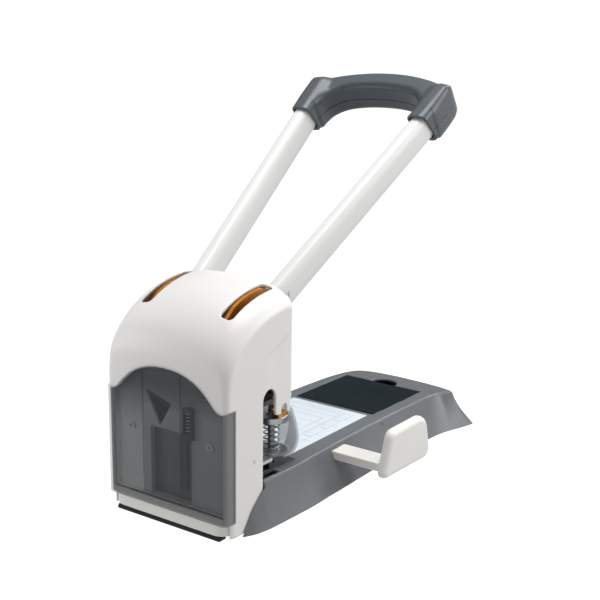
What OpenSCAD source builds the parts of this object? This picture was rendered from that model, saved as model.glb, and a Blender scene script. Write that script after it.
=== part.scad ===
// Heavy-duty two-hole paper punch with a long two-arm lever.
// Frame: X to the right seen from the front, Y towards the back, Z up.
// Origin: on the table, midway between the two punches, on the centre foot pad.

/* [Head] */
// Width of the head across its side walls
head_w = 130; // [124:1:136]
// Height of the dome at its rear crest
head_top = 200.3; // [196:0.1:204]
// Front face of the head in front of the punch line
head_front = 91.5; // [90:0.5:92]
// Rear edge of the side walls in front of the punch line
head_rear = 6; // [5:0.5:8]
// Wall thickness of the mouldings
wall = 3; // [2.5:0.1:3.2]

/* [Punching] */
// Distance between the two punches
hole_pitch = 80; // [79.5:0.5:80]
// Radius of each punch
punch_r = 3; // [2.5:0.25:3]
// Radial running clearance of punches and shaft
run_gap = 0.05; // [0.02:0.01:0.08]
// Height of the paper bed
bed_z = 36.5; // [36:0.5:37]
// Height of the throat above the bed
throat_h = 9.5; // [8:0.5:10]

/* [Lever] */
// Height of the lever pivot
pivot_z = 156; // [154:0.5:158]
// Distance of the lever pivot in front of the punch line
pivot_fwd = 35; // [35:0.5:36]
// Rise of the arms at rest, in degrees
lever_rise = 33.9; // [32:0.1:35]
// Outward splay of each arm, in degrees
splay = 6; // [5:0.1:6.5]
// Height of the oval arm tube
arm_h = 28; // [26:1:28]
// Width of the oval arm tube
arm_w = 16; // [15:1:17]
// Module of the rack and sector teeth
tooth_m = 1.7; // [1.6:0.05:1.7]

/* [Base] */
// Length of the base behind the punch line, at its centre on the table
base_back = 292; // [288:1:296]
// Fall of the deck towards the back, in degrees
deck_fall = 1.3; // [1:0.1:1.5]
// Inner face of the side guide's paddle from the centre plane
guide_x = 110; // [96:1:116]

/* [Hidden] */
$fn = 64;

half_w = head_w / 2;
punch_x = hole_pitch / 2;
eps = 0.01;
gap = 0.4;

// Colours
white_abs = [0.93, 0.93, 0.92];
base_grey = [0.42, 0.44, 0.47];
grip_grey = [0.33, 0.37, 0.40];
smoke = [0.30, 0.33, 0.36, 0.6];
orange = [0.72, 0.42, 0.13];
zinc = [0.66, 0.67, 0.68];
steel = [0.55, 0.56, 0.58];
black = [0.10, 0.13, 0.15];
rubber = [0.09, 0.09, 0.09];

// Lever and gear
gear_teeth = 30;
pitch_r = tooth_m * gear_teeth / 2;
rack_y = pitch_r - pivot_fwd;
addendum = 1.4;
dedendum = 2.2;
backlash = 0.35;
pressure_angle = 20;
shaft_r = 6;
plate_x = 38.5;
plate_t = 3.5;
gear_x0 = 44.5;
gear_x1 = 49.5;
rack_screw_x = 50.5;
rack_x0 = 45.5;
rack_top = 178;
tube_start = 43;
stub_end = 60;
rivets = [47, 55];
arm_x0 = 36.7;
arm_end = 300;
sleeve_start = 274;
sleeve_end = 306;
sleeve_w = 20;
sleeve_h = 34;
bar_start = 292;
bar_outer = 348;
bar_inner = 322;
bar_top = 13;
bar_bottom = -19;
grip_split = -5;
grip_screw_s = 334;

// Punching group
cross_z0 = 75;
cross_z1 = 81;
lug_r = 15;
low_z0 = bed_z + throat_h;
low_z1 = low_z0 + 3;
up_z0 = 98;
up_z1 = 102;
punch_tip = low_z0 + 2;
punch_top = 116;
spring_r = 6.7;
wire_r = 0.8;
spring_turns = 5;
cheek_x = 54;
cheek_t = 3;

// Front cover and panel
cover_y = head_front + 2;
cover_t = 1.8;
cover_wrap = 80.5;
cover_z0 = 14.8;
cover_side_z = 109.4;
arch_foot = 112;
arch_top = 137;
arch_half = 53;
corner_r = 6;
panel_y0 = 85;
panel_y1 = panel_y0 - 2.5;
panel_post_x = 42.4;
panel_post_z = 77;
panel_inset = 5.6;
catch_y = panel_y0 + 4.5;

// Drawer and floor
cover_floor = 2;
drawer_z0 = 3.8;
drawer_z1 = 14.2;

// Side guide
guide_y0 = 62;
guide_y1 = 84;
guide_z0 = 24;
guide_z1 = 32;
paddle_t = 9;

// Lid
lid_y0 = 157;
lid_len = 94;
lid_half = 45.5;
lid_pin_y = 2;
lid_pin_r = 1.05;

// ---------- helpers ----------

// Draws its children and their mirror image across the centre plane
module both_sides() {
    children();
    mirror([1, 0, 0]) children();
}

// Places its children in the plane of the arms: Y along the arms, Z normal to them
module in_arm_plane() {
    translate([0, -pivot_fwd, pivot_z]) rotate([lever_rise, 0, 0]) children();
}

// Extrudes a drawing in the YZ plane along X, from x0 to x1
module along_x(x0, x1) {
    translate([x0, 0, 0]) rotate([90, 0, 90]) linear_extrude(x1 - x0) children();
}

// Extrudes a drawing in the XZ plane along Y, from y0 to y1
module along_y(y0, y1) {
    translate([0, y1, 0]) rotate([90, 0, 0]) linear_extrude(y1 - y0) children();
}

// A cylinder from z0 to z1
module post(x, y, z0, z1, r) {
    translate([x, y, z0]) cylinder(h = z1 - z0, r = r);
}

// A box between two corners
module block(low, high) {
    translate(low) cube(high - low);
}

// A pan-head screw along +Z with its head's underside at the origin
module screw(r, length, head_r, head_h) {
    difference() {
        union() {
            translate([0, 0, -length]) cylinder(h = length, r = r);
            cylinder(h = head_h, r = head_r);
        }
        for (turn = [0, 90])
            rotate([0, 0, turn]) translate([-head_r * 0.6, -0.35, head_h * 0.45])
                cube([head_r * 1.2, 0.7, head_h]);
    }
}

// Points of an arc about a centre
function arc(cx, cy, r, a0, a1, n = 12) =
    [for (i = [0:n]) let (a = a0 + (a1 - a0) * i / n) [cx + r * cos(a), cy + r * sin(a)]];

// Points of an elliptical arc about a centre
function ellipse(cx, cy, rx, ry, a0, a1, n = 24) =
    [for (i = [0:n]) let (a = a0 + (a1 - a0) * i / n) [cx + rx * cos(a), cy + ry * sin(a)]];

function mirror_x(points) = [for (i = [len(points) - 1:-1:0]) [-points[i][0], points[i][1]]];

// ---------- base ----------

// Stations of the base: floor half width and y, crease half width, y and height, and the
// crease half width on the left, where the rear corner is narrower
base_stations = [
    [60, -78, 60, -78, 1, 60], [66, -74, 65, -73, 8, 65], [70, -67, 65, -66.5, 17, 65],
    [72.5, -61, 65, -60, 25, 65], [74.5, -51, 65, -50, 34, 65], [75.5, -42, 65, -42, 39, 65],
    [77, -15, 65, -15, 38.5, 65], [78, 10, 63.8, 10, 37.3, 63.8], [77.5, 35, 62, 35, 36.7, 62],
    [77, 70, 60.8, 70, 36.5, 60.8], [76.2, 105, 60.3, 105, 36.5, 60.3],
    [76.4, 140, 60, 140, 36.3, 60], [77, 175, 59.8, 175, 35.8, 59.8],
    [78, 205, 59.8, 205, 35.1, 59.3], [79.5, 230, 60, 230, 34.6, 58],
    [83, 246, 60.6, 246, 34.3, 56], [88, 262, 63, 258, 34.1, 53.5], [92, 276, 69, 268, 34, 49.5],
    [91, 284, 70, 273.5, 34, 45], [70, 288, 56, 277.5, 34, 38],
    [36, base_back - 1, 32, 280.5, 34, 25], [0.5, base_back, 0.5, 282, 34, 0.5]];

// Floor half width on the left at a station
function left_floor(s) = min(s[0], s[5] + 16);

// Solid between the floor outline and the deck, drawn in by inset and lowered by drop
module base_loft(inset, drop) {
    s = base_stations;
    n = len(s);
    function back(y) = y > 200 ? inset * min(1, (y - 200) / 60) : (y < -60 ? -inset : 0);
    function ring(i) = [
        [-max(left_floor(s[i]) - inset, 0.2), s[i][1] - back(s[i][1]), 0],
        [max(s[i][0] - inset, 0.2), s[i][1] - back(s[i][1]), 0],
        [max(s[i][2] - inset, 0.2), s[i][3] - back(s[i][3]), max(s[i][4] - drop, 0.3)],
        [-max(s[i][5] - inset, 0.2), s[i][3] - back(s[i][3]), max(s[i][4] - drop, 0.3)]];
    points = [for (i = [0:n - 1]) each ring(i)];
    sides = [for (i = [0:n - 2], k = [0:3]) let (a = i * 4 + k, b = i * 4 + (k + 1) % 4)
        each [[a, b, a + 4], [b, b + 4, a + 4]]];
    polyhedron(points,
        concat(sides, [[3, 2, 1, 0]], [[for (k = [0:3]) (n - 1) * 4 + k]]));
}

// Places its children on the falling rear deck, with the lid's front edge at y = 0
module on_rear_deck() {
    translate([0, lid_y0, bed_z - 0.3]) rotate([-deck_fall, 0, 0]) children();
}

module base_shell() {
    color(base_grey) difference() {
        union() {
            difference() {
                base_loft(0, 0);
                translate([0, 0, -eps]) base_loft(wall, wall);
            }
            base_inner_walls();
        }
        base_cutouts();
    }
}

module base_inner_walls() {
    // Floor under the die plate and the frame's feet
    block([-61.3, -42, 24.5], [61.3, 21, 27.5]);
    block([-61.3, -60, 24.5], [61.3, -42, 27.5]);
    block([-61.3, 18, 24.5], [61.3, 21, 35]);
    // Bosses for the frame's bolts
    both_sides() for (y = [-52, -26])
        post(59.2, y, 15.5, 24.6, 4);
    // Bosses for the bottom cover's screws
    both_sides() for (y = [120, 225])
        post(58, y, 3.4, 34, 4);
    // Cross rib in front of the storage tray
    block([-62, 150, 12], [62, 152, 34.5]);
}

module base_cutouts() {
    // Space of the head's walls and of everything between them
    block([-half_w - gap, -95, -1], [half_w + gap, -60.5, 60]);
    both_sides() block([61.5, -95, -1], [half_w + gap, -42.4, 60]);
    block([-61.5, -95, 27.5], [61.5, -17.5, 60]);
    block([-cheek_x - 0.2, -18, 27.5], [cheek_x + 0.2, 16.2, 60]);
    // Chip openings under the dies, and the drawer's tunnel
    both_sides() block([punch_x - 8, -8, 20], [punch_x + 8, 8, 30]);
    block([-58.5, -95, -1], [58.5, 17, 15.4]);
    both_sides() for (y = [-52, -26]) post(59.2, y, 10, 30, 2);
    both_sides() for (y = [120, 225]) post(58, y, 0, 30, 1.5);
    // Seat of the bed sheet
    block([-43.7, 16.1, bed_z - 0.6], [43.7, 150.2, 45]);
    // Opening for the storage tray, seat of the lid and finger notch
    on_rear_deck() {
        block([-lid_half - 0.4, -0.4, -3.1], [lid_half + 0.4, lid_len + 0.4, 8]);
        block([-lid_half - 0.4, -0.4, -4.3], [lid_half + 0.4, 5, 8]);
        block([-12.5, lid_len - 2.8, -4.4], [12.5, lid_len + 0.4, 8]);
        block([-43.6, 4.8, -30], [43.6, lid_len - 2.6, 8]);
        difference() {
            translate([0, lid_len + 1, -4]) cylinder(h = 12, r = 14);
            block([-20, -20, -5], [20, lid_len - 1, 9]);
        }
        along_x(-49, 49) translate([lid_pin_y, -1.9]) circle(r = lid_pin_r);
    }
    // Slot of the side guide in the right wall
    block([55, guide_y0 - gap, guide_z0 - gap], [90, guide_y1 + gap, guide_z1 + gap]);
}

// Half of the base's floor outline drawn in by inset, on the right or on the left
function base_outline(inset, left) = let (s = base_stations, n = len(s))
    [for (i = [5:n - 1]) [max((left ? left_floor(s[i]) : s[i][0]) - inset, 0),
        s[i][1] - (s[i][1] > 260 ? inset : 0)]];

module bottom_cover() {
    color(rubber) difference() {
        union() {
            translate([0, 0, cover_floor]) linear_extrude(1.4)
                polygon(concat(base_outline(6, false), mirror_x(base_outline(6, true))));
            // Tongue under the drawer
            block([-56, -head_front + 1, cover_floor], [56, -40, cover_floor + 1.4]);
        }
        for (i = [0:5]) block([-40 + i * 14, 40, 0], [-34 + i * 14, 62, 6]);
        both_sides() for (y = [120, 225]) post(58, y, 0, 6, 1.7);
    }
}

module foot_pads() {
    color(rubber) {
        block([-52, -14, 0], [52, 14, cover_floor]);
        block([-56, -head_front + 0.6, 0], [56, -head_front + 9, cover_floor]);
        both_sides() post(54, 256, 0, cover_floor, 9);
    }
}

module base_screws() {
    color(zinc) both_sides() for (y = [120, 225])
        translate([58, y, cover_floor]) rotate([180, 0, 0]) screw(1.5, 14, 3, 1.4);
}

module die_plate() {
    color(steel) difference() {
        block([-cheek_x, -62, bed_z - 6], [cheek_x, 16, bed_z]);
        both_sides() {
            post(punch_x, 0, bed_z - 7, bed_z + 1, punch_r + run_gap);
            post(punch_x, 0, bed_z - 7, bed_z - 2.5, punch_r + 2);
            for (y = [-50, 10]) post(24, y, bed_z - 7, bed_z + 1, 2.2);
            for (y = [-50, 10]) post(24, y, bed_z - 2.6, bed_z + 1, 4.2);
        }
    }
}

module die_screws() {
    color(zinc) both_sides() for (y = [-50, 10])
        translate([24, y, bed_z - 2.6]) screw(2, 6, 4, 2.2);
}

module paper_stop() {
    color(steel) difference() {
        union() {
            block([-50, -16, bed_z], [50, -12, low_z0 - 1.9]);
            block([-50, -30, bed_z], [50, -16, bed_z + 1.5]);
        }
        both_sides() post(30, -23, bed_z - 1, bed_z + 3, 2);
    }
}

module bed_label() {
    color([0.88, 0.91, 0.94]) block([-43.5, 16.3, bed_z - 0.6], [43.5, 150, bed_z]);
}

module storage_tray() {
    color(black) on_rear_deck() difference() {
        block([-43.4, 5, -24], [43.4, lid_len - 2.8, -3.1]);
        block([-41.6, 6.8, -22.2], [41.6, lid_len - 4.6, 0]);
    }
}

module storage_lid() {
    color(black) on_rear_deck() difference() {
        union() {
            block([-lid_half, lid_pin_y, -2.5], [lid_half, lid_len, 0]);
            along_x(-lid_half, lid_half) translate([lid_pin_y, -1.9]) circle(r = 1.9);
            block([-12, lid_len - 2.2, -4], [12, lid_len - 0.6, -2.4]);
        }
        along_x(-50, 50) translate([lid_pin_y, -1.9]) circle(r = lid_pin_r + run_gap);
        translate([0, lid_len, -2.6]) difference() {
            cylinder(h = 3, r = 13);
            translate([-15, -15, -1]) cube([30, 13.6, 5]);
        }
    }
}

module lid_hinge_pin() {
    color(zinc) on_rear_deck() along_x(-48.5, 48.5) translate([lid_pin_y, -1.9])
        circle(r = lid_pin_r);
}

// ---------- side guide ----------

guide_mid = (guide_y0 + guide_y1) / 2;
guide_screw_z = (guide_z0 + guide_z1) / 2;

module guide_rail() {
    color(base_grey) difference() {
        block([-56, guide_y0 - 3, guide_z0 - 3], [56, guide_y1 + 3, guide_z1 + 1.4]);
        block([-57, guide_y0 - gap, guide_z0 - gap], [57, guide_y1 + gap, guide_z1 + gap]);
    }
}

module guide_arm() {
    color(white_abs) difference() {
        block([-40, guide_y0, guide_z0], [guide_x, guide_y1, guide_z1]);
        // Rack-like index notches on the underside
        for (i = [0:14]) block([-30 + i * 6, guide_y0 + 6, guide_z0 - 1],
            [-27 + i * 6, guide_y1 - 6, guide_z0 + 1.2]);
        along_x(guide_x - 12, guide_x + 1) translate([guide_mid, guide_screw_z]) circle(r = 1.5);
    }
}

// Outline of the paddle in the YZ plane, drawn in by inset
function paddle_outline(inset) = concat(
    arc(67.5, 23, 6 - inset, 180, 270, 8),
    arc(133, 25, 9.5 - inset, 270, 360, 8),
    arc(121, 43, 16.5 - inset, 20, 85, 8),
    arc(79.5, 50.5, 9 - inset, 90, 165, 8));

module guide_paddle() {
    color(white_abs) difference() {
        union() {
            along_x(guide_x, guide_x + paddle_t - 2) polygon(paddle_outline(0));
            along_x(guide_x + paddle_t - 2 - eps, guide_x + paddle_t) polygon(paddle_outline(2));
        }
        along_x(guide_x - 1, guide_x + 6) translate([guide_mid, guide_screw_z]) circle(r = 1.5);
    }
}

module guide_screw() {
    color(zinc) along_x(guide_x - 12, guide_x + 6) translate([guide_mid, guide_screw_z])
        circle(r = 1.5);
}

// ---------- head frame ----------

module cheek_outline() {
    polygon([[-66, 27.5], [-36, 27.5], [-36, 112], [-14, 128], [-14, 172], [-66, 172]]);
}

module head_frame() {
    color(steel) difference() {
        union() {
            both_sides() {
                along_x(cheek_x, cheek_x + cheek_t) cheek_outline();
                block([cheek_x, -60, 27.5], [61.3, -20, 30]);
            }
            block([-cheek_x - 1, -66, bed_z], [cheek_x + 1, -62, 165]);
        }
        along_x(-70, 70) translate([-pivot_fwd, pivot_z]) circle(r = shaft_r + 2);
        both_sides() for (y = [-52, -26]) post(59.2, y, 20, 40, 2.2);
        along_x(-70, 70) for (z = [up_z0 + 2, low_z0 + 1.5]) translate([-50, z]) circle(r = 1.2);
        along_x(-70, 70) for (z = [60, 150]) translate([-56, z]) circle(r = 1.7);
    }
}

module pivot_bushes() {
    color([0.62, 0.50, 0.28]) both_sides() difference() {
        union() {
            along_x(cheek_x, cheek_x + cheek_t)
                translate([-pivot_fwd, pivot_z]) circle(r = shaft_r + 2);
            along_x(cheek_x - 1, cheek_x)
                translate([-pivot_fwd, pivot_z]) circle(r = shaft_r + 4);
        }
        along_x(40, 70) translate([-pivot_fwd, pivot_z]) circle(r = shaft_r + run_gap);
    }
}

module frame_bolts() {
    color(zinc) both_sides() for (y = [-52, -26]) translate([59.2, y, 30])
        screw(2, 14, 2.1, 3);
}

module upper_guide_plate() {
    color(steel) difference() {
        union() {
            block([-cheek_x, -62, up_z0], [cheek_x, -16, up_z1]);
            block([-46, -16 - eps, up_z0], [46, 6, up_z1]);
        }
        both_sides() {
            post(punch_x, 0, up_z0 - 1, up_z1 + 1, punch_r + run_gap);
            block([rack_x0 - 0.8, rack_y - addendum - 1.6, up_z0 - 1], [52, 12, up_z1 + 1]);
        }
        block([-28, -54, up_z0 - 1], [28, -8, up_z1 + 1]);
        along_x(-70, 70) translate([-50, up_z0 + 2]) circle(r = 1.2);
    }
}

module lower_guide_plate() {
    color(zinc) difference() {
        union() {
            block([-cheek_x, -62, low_z0], [cheek_x, -17, low_z1]);
            block([-punch_x, -17 - eps, low_z0], [punch_x, 12, low_z1]);
            both_sides() {
                post(punch_x, 0, low_z0, low_z1, 14);
                block([punch_x - 9, -17, low_z0], [punch_x + 3, -6, low_z1]);
            }
        }
        both_sides() post(punch_x, 0, low_z0 - 1, low_z1 + 1, punch_r + run_gap);
        block([-26, -54, low_z0 - 1], [26, -8, low_z1 + 1]);
        along_x(-70, 70) translate([-50, low_z0 + 1.5]) circle(r = 1.2);
    }
}

module plate_screws() {
    color(zinc) both_sides() for (z = [up_z0 + 2, low_z0 + 1.5])
        translate([cheek_x + cheek_t, -50, z]) rotate([0, 90, 0]) screw(1.2, 12, 2.6, 1.8);
}

// ---------- head housing ----------

shoulder = 12;
dome_z = 145;
rear_depth = 10;
rear_half = 61.3;

// Side outline of the head drawn in by inset
function head_side(inset) = concat(
    [[-head_front + inset, 2]],
    ellipse(-head_rear, dome_z, head_front - head_rear - inset, head_top - dome_z - inset,
        180, 90),
    [[-head_rear + 30, head_top - inset], [-head_rear + 30, 2]]);

// Front outline of the head: crowned top and rounded shoulders
function head_front_half(inset) = concat(
    [[half_w - inset, -2]],
    arc(half_w - shoulder, head_top - 4.7 - shoulder, shoulder - inset, 0, 75, 10),
    [[34, head_top - 2.2 - inset], [18, head_top - 0.6 - inset], [0, head_top - inset]]);

module head_solid(inset) {
    intersection() {
        along_x(-half_w - 5, half_w + 5) polygon(head_side(inset));
        along_y(-100, -head_rear) let (h = head_front_half(inset))
            polygon(concat(h, mirror_x(h)));
        linear_extrude(210) head_plan(head_front, inset);
    }
}

// Plan outline with rounded front corners, its front face at y = -front, drawn in by inset
module head_plan(front, inset) {
    polygon(concat([[-half_w + inset, 20]],
        arc(-half_w + corner_r, -front + corner_r, corner_r - inset, 180, 270, 8),
        arc(half_w - corner_r, -front + corner_r, corner_r - inset, 270, 360, 8),
        [[half_w - inset, 20]]));
}

// Outline of the front cover: straight foot, low shoulders and an arched top
function cover_half(inset) = concat(
    [[half_w - inset, cover_z0 + inset], [half_w - inset, cover_side_z - inset],
     [arch_half + 2 - inset, cover_side_z - inset]],
    [for (i = [0:12]) let (t = i / 12, x = (arch_half - inset) * (1 - t))
        [x, arch_foot - inset + (arch_top - arch_foot) * (1 - pow(1 - t, 2.2))]]);

module cover_face(inset) {
    polygon(concat(cover_half(inset), mirror_x([for (p = cover_half(inset)) if (p[0] > 0) p])));
}

// Opening in each side wall: tall arch in front, rear ear, open below
function side_opening() = concat(
    [[-43, -5], [-43, 108]],
    arc(-34.5, 108, 8.5, 180, 0, 12),
    [[-26, 98], [-23, 92]],
    arc(-15, 93, 6, 225, 300, 6),
    [[-8, 91], [0, 92], [30, 92], [30, -5]]);

module head_housing() {
    color(white_abs) difference() {
        head_solid(0);
        difference() {
            head_solid(wall);
            // Thicker wall round the front corners, behind the cover's edges
            both_sides() block([half_w - 4.8, -100, cover_z0], [70, -cover_wrap + 3, 145]);
        }
        // Hollow runs out through the open rear
        translate([0, -head_rear - 8, 0]) block([-half_w + wall, 0, 0], [half_w - wall, 40, 180]);
        // Window for the panel and seat of the cover
        along_y(-100, -cover_wrap + 4) cover_face(5);
        difference() {
            along_y(-100, -cover_wrap + gap) cover_face(-gap);
            linear_extrude(210) head_plan(cover_y, cover_t + gap);
        }
        along_x(-80, 80) polygon(side_opening());
        // Drawer mouth below the cover
        block([-62.3, -100, 1], [62.3, -head_front + corner_r, drawer_z1 + 0.3]);
        // Lever slots in the dome
        both_sides() translate([42.7, 0, 160]) {
            translate([-6.1, -60, 0]) cube([12.2, 44, 50]);
            for (y = [-60, -16]) translate([0, y, 0]) cylinder(h = 50, r = 6.1);
        }
        both_sides() along_x(half_w - 10, half_w + 5)
            for (z = [60, 150]) translate([-56, z]) circle(r = 1.7);
    }
}

module housing_screws() {
    color(zinc) both_sides() for (z = [60, 150])
        translate([half_w - 0.6, -56, z]) rotate([0, 90, 0]) screw(1.7, 11, 1.7, 0.5);
}

// Side outline of the rear cover drawn in by inset
function rear_profile(inset) = concat(
    [[-head_rear, 98], [rear_depth - inset, 98]],
    arc(rear_depth - 14, head_top - 18, 14 - inset, 0, 80, 8),
    [[-head_rear, head_top - 3.2 - inset]]);

// Half of the rear cover's plan outline drawn in by inset
function rear_plan(inset) = concat([[rear_half - inset, -head_rear - 2]],
    arc(rear_half - 16, rear_depth - 16, 16 - inset, 0, 90, 10));

module rear_block(inset) {
    intersection() {
        along_x(-rear_half + inset, rear_half - inset) polygon(rear_profile(inset));
        along_y(-head_rear - 2, 30) let (h = head_front_half(1.5 + inset))
            polygon(concat(h, mirror_x(h)));
        linear_extrude(210) polygon(concat(rear_plan(inset), mirror_x(rear_plan(inset))));
    }
}

module rear_cover() {
    color(white_abs) difference() {
        rear_block(0);
        // Hollow, open below and in front
        translate([0, -1, -1]) rear_block(2.5);
        translate([0, 0, -20]) rear_block(2.5);
        // Slots that the arms swing in
        both_sides() block([31.5, -30, 141], [53.8, 30, 230]);
    }
}

module inner_panel() {
    color([0.62, 0.64, 0.66]) difference() {
        union() {
            along_y(-panel_y0, -panel_y1) cover_face(panel_inset);
            // Rim that runs forwards round the panel
            along_y(-panel_y0 - 3, -panel_y0 + eps) difference() {
                cover_face(panel_inset);
                cover_face(panel_inset + 1.5);
            }
            // Surround of the chute
            block([-23.4, -panel_y1 - eps, 19.8], [23.4, -panel_y1 + 7, 82.6]);
            both_sides() along_y(-panel_y1 - eps, -66.1) translate([panel_post_x, panel_post_z])
                circle(r = 4);
        }
        block([-21.8, -95, 21.4], [21.8, -panel_y1 + 5, 81]);
        along_y(-95, -60) polygon([[-27, 112.5], [1, 104], [-11.5, 83.5]]);
        both_sides() along_y(-95, -60) translate([panel_post_x, panel_post_z]) circle(r = 1.6);
    }
}

module panel_screws() {
    color(zinc) both_sides() translate([panel_post_x, -panel_y0, panel_post_z])
        rotate([90, 0, 0]) screw(1.6, 14, 3.4, 1.4);
}

module cover_catch() {
    color([0.75, 0.77, 0.78]) difference() {
        union() {
            block([12, -catch_y + 2, 34], [20, -panel_y0 + 1, 80]);
            block([16.5, -catch_y, 79], [26, -panel_y0, 105.5]);
        }
        block([18.2, -catch_y - 1, 84.2], [24.4, -panel_y0 - 0.5, 102.2]);
        // Lower end clears the chute's recess
        block([10, -panel_y0, 30], [21.9, -panel_y0 + 3, 83.5]);
    }
}

module catch_spring() {
    color(zinc) translate([21.3, -catch_y + 2.1, 84.2]) coil(1.5, 0.4, 18, 6, 10, 5);
}

module front_cover() {
    color(smoke) intersection() {
        along_y(-cover_y - 1, -cover_wrap) cover_face(0);
        linear_extrude(150) difference() {
            head_plan(cover_y, 0);
            head_plan(cover_y, cover_t);
        }
    }
}

module chip_drawer() {
    color([0.86, 0.86, 0.84]) difference() {
        union() {
            intersection() {
                translate([0, 0, drawer_z0]) linear_extrude(drawer_z1 - drawer_z0)
                    head_plan(head_front, 0.5);
                block([-62, -100, 0], [62, -head_front + corner_r - 1, 20]);
            }
            block([-56, -head_front + corner_r - 1 - eps, 4], [56, 14, 14]);
        }
        block([-53, -head_front + 4.6, 5.6], [53, -head_front + corner_r, 20]);
        block([-54.4, -head_front + corner_r - 1, 5.6], [54.4, 12.4, 20]);
        // Finger recess behind the upper edge
        block([-20, -head_front + 1.5, 12.2], [20, -head_front + 5, 16]);
    }
}

// ---------- punching group ----------

// Profile of a guard: radius and height pairs of its outer wall
guard_outer = [[15.6, 44.6], [20, 47], [22.8, 52], [23.9, 58], [23.4, 65], [21.8, 73],
    [19.8, 80], [18.6, 84]];

module guard() {
    outer = guard_outer;
    inner = [for (i = [len(outer) - 1:-1:0])
        [max(outer[i][0] - 1.7, 14), i == 0 ? low_z0 : outer[i][1]]];
    difference() {
        translate([punch_x, 0, 0]) rotate([0, 0, -78]) rotate_extrude(angle = 188)
            polygon(concat(outer, inner));
        // Front edge, which slopes down and forwards
        along_x(0, 80) polygon([[-1, 77], [-15, 48], [-17, 44], [-40, 44], [-40, 90], [5.3, 90]]);
        // Clear of the arm of the lower guide plate
        block([punch_x - 10, -18, low_z0 - 0.2], [punch_x + 3.3, -5, low_z1 + 0.3]);
    }
}

module guard_right() { color(smoke) guard(); }
module guard_left() { color(smoke) mirror([1, 0, 0]) guard(); }

module crosshead() {
    color(zinc) difference() {
        union() {
            both_sides() post(punch_x, 0, cross_z0, cross_z1, lug_r);
            block([-punch_x, -9, cross_z0], [punch_x, 9, cross_z1]);
        }
        both_sides() {
            post(punch_x, 0, cross_z0 - 1, cross_z1 + 1, punch_r);
            post(rack_screw_x, 3, cross_z0 - 1, cross_z1 + 1, 1.3);
        }
    }
}

module punch() {
    difference() {
        union() {
            post(punch_x, 0, punch_tip, punch_top, punch_r);
            post(punch_x, 0, cross_z0 - 3, cross_z0, 4.6);
        }
        // Hollow-ground cutting edge
        translate([punch_x, -5, punch_tip - 2.2]) rotate([-90, 0, 0]) cylinder(h = 10, r = 3);
    }
}

module punch_right() { color(steel) punch(); }
module punch_left() { color(steel) mirror([1, 0, 0]) punch(); }

module punch_clips() {
    color(zinc) both_sides() difference() {
        post(punch_x, 0, cross_z1, cross_z1 + 1.2, 5);
        post(punch_x, 0, cross_z1 - 1, cross_z1 + 3, punch_r);
    }
}

// Half thickness of a rack tooth at height h above the pitch line
function rack_half(h) = PI * tooth_m / 4 - backlash / 2 - h * tan(pressure_angle);

module rack_outline() {
    pitch = PI * tooth_m;
    translate([rack_y, 0]) {
        translate([dedendum, cross_z1]) square([5.2, rack_top - cross_z1]);
        for (i = [-13:3]) translate([0, pivot_z + (i + 0.5) * pitch]) polygon([
            [-addendum, rack_half(addendum)], [-addendum, -rack_half(addendum)],
            [dedendum + eps, -rack_half(-dedendum)], [dedendum + eps, rack_half(-dedendum)]]);
    }
}

module rack() {
    difference() {
        union() {
            along_x(rack_x0, gear_x1) rack_outline();
            block([rack_x0, rack_y + dedendum, cross_z1], [53.3, 6, cross_z1 + 4]);
        }
        post(rack_screw_x, 3, cross_z1 - 1, cross_z1 + 3.5, 1.3);
    }
}

module rack_right() { color(orange) rack(); }
module rack_left() { color(orange) mirror([1, 0, 0]) rack(); }

module rack_screws() {
    color(zinc) both_sides() translate([rack_screw_x, 3, cross_z0]) rotate([180, 0, 0])
        screw(1.3, 9, 2.6, 1.4);
}

// A coil spring from z = 0 to height, swept along a helix
module coil(radius, wire, height, turns, per_turn = 16, sides = 8) {
    n = turns * per_turn;
    function at(i) = let (a = 360 * i / per_turn, h = height - 2 * wire)
        [radius * cos(a), radius * sin(a), wire + h * i / n];
    points = [for (i = [0:n], k = [0:sides - 1])
        let (a = 360 * i / per_turn, b = 360 * k / sides)
        at(i) + wire * [cos(b) * cos(a), cos(b) * sin(a), sin(b)]];
    quads = [for (i = [0:n - 1], k = [0:sides - 1])
        let (a = i * sides + k, b = i * sides + (k + 1) % sides)
        each [[a, b, a + sides], [b, b + sides, a + sides]]];
    polyhedron(points, concat(quads, [[for (k = [sides - 1:-1:0]) k]],
        [[for (k = [0:sides - 1]) n * sides + k]]));
}

module spring() {
    translate([punch_x, 0, low_z1]) coil(spring_r, wire_r, cross_z0 - low_z1, spring_turns);
}

module spring_right() { color(zinc) spring(); }
module spring_left() { color(zinc) mirror([1, 0, 0]) spring(); }

// ---------- lever ----------

module pivot_shaft() {
    color(steel) difference() {
        along_x(-59.5, 59.5) translate([-pivot_fwd, pivot_z]) circle(r = shaft_r);
        both_sides() along_x(57.3, 58.3) translate([-pivot_fwd, pivot_z]) difference() {
            circle(r = shaft_r + 1);
            circle(r = shaft_r - 1);
        }
    }
}

module pivot_clips() {
    color(zinc) both_sides() along_x(57.3, 58.3) translate([-pivot_fwd, pivot_z]) difference() {
        circle(r = shaft_r + 2.6);
        circle(r = shaft_r - 1);
        polygon([[0, 0], [-6, -12], [6, -12]]);
    }
}

// Point of an involute of base radius rb where its radius is r
function involute_angle(rb, r) = let (t = sqrt(max(r * r / (rb * rb) - 1, 0)))
    t * 180 / PI - atan(t);

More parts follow.
